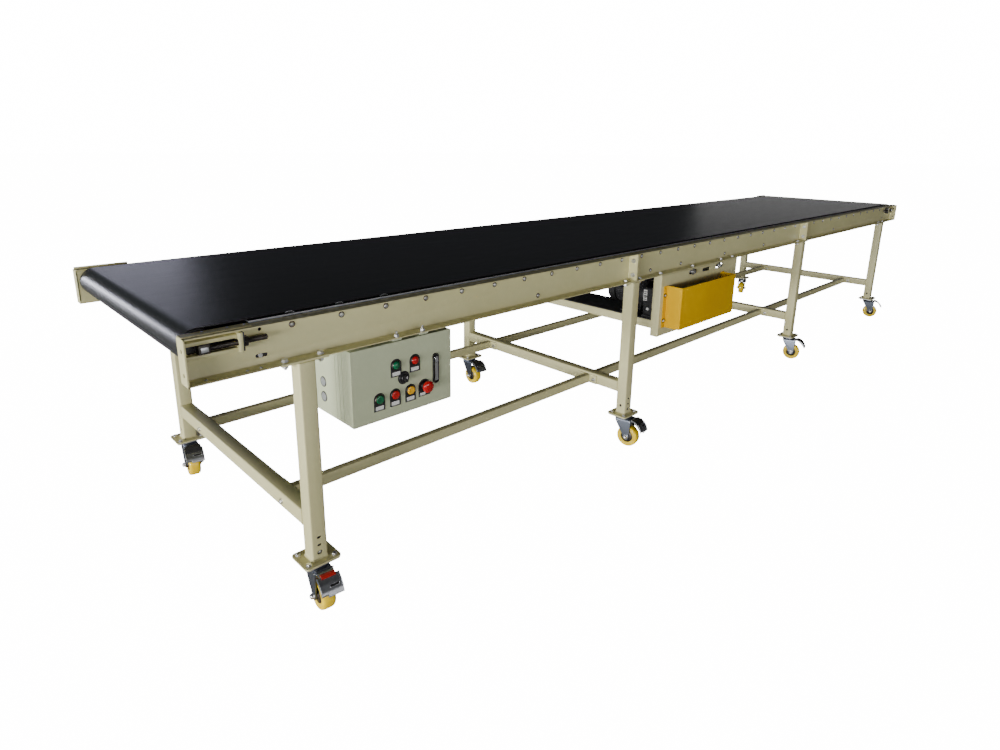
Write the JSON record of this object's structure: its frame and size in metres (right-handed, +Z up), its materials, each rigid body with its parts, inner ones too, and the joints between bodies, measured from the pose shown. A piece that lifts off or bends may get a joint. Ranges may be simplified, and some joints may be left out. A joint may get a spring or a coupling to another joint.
{
  "type": "belt conveyor section",
  "caption": "Straight mobile belt conveyor on castored leg frames, with a centre drum drive under the belt, a chain guard and a hanging control box.",
  "frame": {"origin": "on the floor, at the centre of the conveyor in plan: midway between the two end faces and midway between the side frames", "axes": "+X along the belt from the tail end (control box) to the head end, +Y across the belt away from the controls and the chain guard, +Z up"},
  "size_m": [5.55, 1.271, 0.901],
  "materials": {
    "cream_paint": "satin",
    "galvanised": "satin",
    "belt_pvc": "matt",
    "black_paint": "satin",
    "yellow_paint": "gloss",
    "grey_green_paint": "satin",
    "dark_zinc": "satin",
    "polyurethane": "satin",
    "grey_plastic": "matt",
    "turned_steel": "smooth",
    "chrome": "polished",
    "black_plastic": "satin",
    "green_plastic": "gloss",
    "red_plastic": "gloss",
    "amber_plastic": "gloss"
  },
  "bodies": {
    "conveyor": {"frame_near_1": "cream_paint", "frame_near_2": "cream_paint", "frame_near_3": "cream_paint", "frame_far_1": "cream_paint", "frame_far_2": "cream_paint", "frame_far_3": "cream_paint", "leg_frame_1": "cream_paint", "leg_frame_2": "cream_paint", "leg_frame_3": "cream_paint", "leg_frame_4": "cream_paint", "tie_bar_near_1": "cream_paint", "tie_bar_near_2": "cream_paint", "tie_bar_near_3": "cream_paint", "tie_bar_far_1": "cream_paint", "tie_bar_far_2": "cream_paint", "tie_bar_far_3": "cream_paint", "slider_bed": "galvanised", "belt": "belt_pvc", "drive_frame": "cream_paint", "gearmotor": "black_paint", "chain_guard": "yellow_paint", "control_box": "grey_green_paint"},
    "fork_near_1": {"castor_fork_near_1": "dark_zinc"},
    "wheel_near_1": {"castor_wheel_near_1": "polyurethane"},
    "pedal_near_1": {"castor_pedal_near_1": "grey_plastic"},
    "fork_near_2": {"castor_fork_near_2": "dark_zinc"},
    "wheel_near_2": {"castor_wheel_near_2": "polyurethane"},
    "pedal_near_2": {"castor_pedal_near_2": "grey_plastic"},
    "fork_near_3": {"castor_fork_near_3": "dark_zinc"},
    "wheel_near_3": {"castor_wheel_near_3": "polyurethane"},
    "pedal_near_3": {"castor_pedal_near_3": "grey_plastic"},
    "fork_near_4": {"castor_fork_near_4": "dark_zinc"},
    "wheel_near_4": {"castor_wheel_near_4": "polyurethane"},
    "pedal_near_4": {"castor_pedal_near_4": "grey_plastic"},
    "fork_far_1": {"castor_fork_far_1": "dark_zinc"},
    "wheel_far_1": {"castor_wheel_far_1": "polyurethane"},
    "pedal_far_1": {"castor_pedal_far_1": "grey_plastic"},
    "fork_far_2": {"castor_fork_far_2": "dark_zinc"},
    "wheel_far_2": {"castor_wheel_far_2": "polyurethane"},
    "pedal_far_2": {"castor_pedal_far_2": "grey_plastic"},
    "fork_far_3": {"castor_fork_far_3": "dark_zinc"},
    "wheel_far_3": {"castor_wheel_far_3": "polyurethane"},
    "fork_far_4": {"castor_fork_far_4": "dark_zinc"},
    "wheel_far_4": {"castor_wheel_far_4": "polyurethane"},
    "pedal_far_4": {"castor_pedal_far_4": "grey_plastic"},
    "tail_takeup_axle": {"tail_takeup": "turned_steel"},
    "tail_roller_tube": {"tail_roller": "turned_steel"},
    "head_takeup_axle": {"head_takeup": "turned_steel"},
    "head_roller_tube": {"head_roller": "turned_steel"},
    "drum": {"drive_drum": "turned_steel"},
    "motor_output": {"motor_sprocket": "turned_steel"},
    "snub_tail": {"snub_roller_tail": "turned_steel"},
    "snub_head": {"snub_roller_head": "turned_steel"},
    "door": {"box_door": "grey_green_paint"},
    "latch": {"latch_handle": "chrome"},
    "selector": {"selector_knob": "black_plastic"},
    "push_green": {"button_green": "green_plastic"},
    "push_red": {"button_red": "red_plastic"},
    "push_yellow": {"button_yellow": "amber_plastic"},
    "estop": {"estop_button": "red_plastic"}
  },
  "joints": [
    {"name": "swivel_near_1", "type": "hinge", "parent": "conveyor", "child": "fork_near_1", "pos_m": [-2.47, -0.535, 0.1415], "axis": [0, 0, 1], "continuous": true},
    {"name": "roll_near_1", "type": "hinge", "parent": "fork_near_1", "child": "wheel_near_1", "pos_m": [-2.47288, -0.56787, 0.05], "axis": [0.9962, -0.0872, 0], "continuous": true},
    {"name": "brake_near_1", "type": "hinge", "parent": "fork_near_1", "child": "pedal_near_1", "pos_m": [-2.4741, -0.58182, 0.1317], "axis": [0.9962, -0.0872, 0], "range_deg": [-18, 3]},
    {"name": "swivel_near_2", "type": "hinge", "parent": "conveyor", "child": "fork_near_2", "pos_m": [-0.925, -0.535, 0.1415], "axis": [0, 0, 1], "continuous": true},
    {"name": "roll_near_2", "type": "hinge", "parent": "fork_near_2", "child": "wheel_near_2", "pos_m": [-0.91927, -0.5675, 0.05], "axis": [0.9848, 0.1736, 0], "continuous": true},
    {"name": "brake_near_2", "type": "hinge", "parent": "fork_near_2", "child": "pedal_near_2", "pos_m": [-0.91684, -0.58129, 0.1317], "axis": [0.9848, 0.1736, 0], "range_deg": [-18, 3]},
    {"name": "swivel_near_3", "type": "hinge", "parent": "conveyor", "child": "fork_near_3", "pos_m": [0.903, -0.535, 0.1415], "axis": [0, 0, 1], "continuous": true},
    {"name": "roll_near_3", "type": "hinge", "parent": "fork_near_3", "child": "wheel_near_3", "pos_m": [0.9121, -0.56672, 0.05], "axis": [0.9613, 0.2756, 0], "continuous": true},
    {"name": "brake_near_3", "type": "hinge", "parent": "fork_near_3", "child": "pedal_near_3", "pos_m": [0.91595, -0.58018, 0.1317], "axis": [0.9613, 0.2756, 0], "range_deg": [-18, 3]},
    {"name": "swivel_near_4", "type": "hinge", "parent": "conveyor", "child": "fork_near_4", "pos_m": [2.47, -0.535, 0.1415], "axis": [0, 0, 1], "continuous": true},
    {"name": "roll_near_4", "type": "hinge", "parent": "fork_near_4", "child": "wheel_near_4", "pos_m": [2.48447, -0.56466, 0.05], "axis": [0.8988, 0.4384, 0], "continuous": true},
    {"name": "brake_near_4", "type": "hinge", "parent": "fork_near_4", "child": "pedal_near_4", "pos_m": [2.4906, -0.57724, 0.1317], "axis": [0.8988, 0.4384, 0], "range_deg": [-18, 3]},
    {"name": "swivel_far_1", "type": "hinge", "parent": "conveyor", "child": "fork_far_1", "pos_m": [-2.47, 0.535, 0.1415], "axis": [0, 0, 1], "continuous": true},
    {"name": "roll_far_1", "type": "hinge", "parent": "fork_far_1", "child": "wheel_far_1", "pos_m": [-2.47459, 0.50232, 0.05], "axis": [0.9903, -0.1392, 0], "continuous": true},
    {"name": "brake_far_1", "type": "hinge", "parent": "fork_far_1", "child": "pedal_far_1", "pos_m": [-2.47654, 0.48846, 0.1317], "axis": [0.9903, -0.1392, 0], "range_deg": [-18, 3]},
    {"name": "swivel_far_2", "type": "hinge", "parent": "conveyor", "child": "fork_far_2", "pos_m": [-0.925, 0.535, 0.1415], "axis": [0, 0, 1], "continuous": true},
    {"name": "roll_far_2", "type": "hinge", "parent": "fork_far_2", "child": "wheel_far_2", "pos_m": [-0.92558, 0.50201, 0.05], "axis": [0.9998, -0.0174, 0], "continuous": true},
    {"name": "brake_far_2", "type": "hinge", "parent": "fork_far_2", "child": "pedal_far_2", "pos_m": [-0.92582, 0.48801, 0.1317], "axis": [0.9998, -0.0174, 0], "range_deg": [-18, 3]},
    {"name": "swivel_far_3", "type": "hinge", "parent": "conveyor", "child": "fork_far_3", "pos_m": [0.903, 0.535, 0.1415], "axis": [0, 0, 1], "continuous": true},
    {"name": "roll_far_3", "type": "hinge", "parent": "fork_far_3", "child": "wheel_far_3", "pos_m": [0.903, 0.568, 0.05], "axis": [-1, 0, 0], "continuous": true},
    {"name": "swivel_far_4", "type": "hinge", "parent": "conveyor", "child": "fork_far_4", "pos_m": [2.47, 0.535, 0.1415], "axis": [0, 0, 1], "continuous": true},
    {"name": "roll_far_4", "type": "hinge", "parent": "fork_far_4", "child": "wheel_far_4", "pos_m": [2.50101, 0.54629, 0.05], "axis": [-0.342, 0.9397, 0], "continuous": true},
    {"name": "brake_far_4", "type": "hinge", "parent": "fork_far_4", "child": "pedal_far_4", "pos_m": [2.51417, 0.55107, 0.1317], "axis": [-0.342, 0.9397, 0], "range_deg": [-18, 3]},
    {"name": "tail_tension", "type": "slide", "parent": "conveyor", "child": "tail_takeup_axle", "axis": [1, 0, 0], "range_m": [0, 0.03]},
    {"name": "tail_roller_spin", "type": "hinge", "parent": "tail_takeup_axle", "child": "tail_roller_tube", "pos_m": [-2.7218, 0, 0.8535], "axis": [0, 1, 0], "continuous": true},
    {"name": "head_tension", "type": "slide", "parent": "conveyor", "child": "head_takeup_axle", "axis": [-1, 0, 0], "range_m": [0, 0.03]},
    {"name": "head_roller_spin", "type": "hinge", "parent": "head_takeup_axle", "child": "head_roller_tube", "pos_m": [2.7218, 0, 0.8535], "axis": [0, 1, 0], "continuous": true},
    {"name": "drum_spin", "type": "hinge", "parent": "conveyor", "child": "drum", "pos_m": [-0.32, 0, 0.63], "axis": [0, 1, 0], "continuous": true},
    {"name": "motor_spin", "type": "hinge", "parent": "conveyor", "child": "motor_output", "pos_m": [-0.549, 0, 0.63], "axis": [0, 1, 0], "continuous": true},
    {"name": "snub_tail_spin", "type": "hinge", "parent": "conveyor", "child": "snub_tail", "pos_m": [-0.4496, 0, 0.7547], "axis": [0, 1, 0], "continuous": true},
    {"name": "snub_head_spin", "type": "hinge", "parent": "conveyor", "child": "snub_head", "pos_m": [-0.1904, 0, 0.7547], "axis": [0, 1, 0], "continuous": true},
    {"name": "door_hinge", "type": "hinge", "parent": "conveyor", "child": "door", "pos_m": [-2.34, -0.536, 0.647], "axis": [0, 0, 1], "range_deg": [-110, 0]},
    {"name": "latch_lift", "type": "hinge", "parent": "door", "child": "latch", "pos_m": [-2.034, -0.5638, 0.6085], "axis": [1, 0, 0], "range_deg": [0, 45]},
    {"name": "selector_turn", "type": "hinge", "parent": "door", "child": "selector", "pos_m": [-2.158, -0.56, 0.645], "axis": [0, 1, 0], "range_deg": [-45, 45]},
    {"name": "press_green", "type": "slide", "parent": "door", "child": "push_green", "axis": [0, 1, 0], "range_m": [0, 0.005], "stiffness_N_per_m": 400, "springref_m": -0.002},
    {"name": "press_red", "type": "slide", "parent": "door", "child": "push_red", "axis": [0, 1, 0], "range_m": [0, 0.005], "stiffness_N_per_m": 400, "springref_m": -0.002},
    {"name": "press_yellow", "type": "slide", "parent": "door", "child": "push_yellow", "axis": [0, 1, 0], "range_m": [0, 0.005], "stiffness_N_per_m": 400, "springref_m": -0.002},
    {"name": "press_estop", "type": "slide", "parent": "door", "child": "estop", "axis": [0, 1, 0], "range_m": [0, 0.006]}
  ],
  "couplings": [
    {"joint": "motor_spin", "follows": "drum_spin", "ratio": 1.4615},
    {"joint": "tail_roller_spin", "follows": "drum_spin", "ratio": 1.6696},
    {"joint": "head_roller_spin", "follows": "drum_spin", "ratio": 1.6696},
    {"joint": "snub_tail_spin", "follows": "drum_spin", "ratio": -1.4546},
    {"joint": "snub_head_spin", "follows": "drum_spin", "ratio": -1.4546}
  ]
}
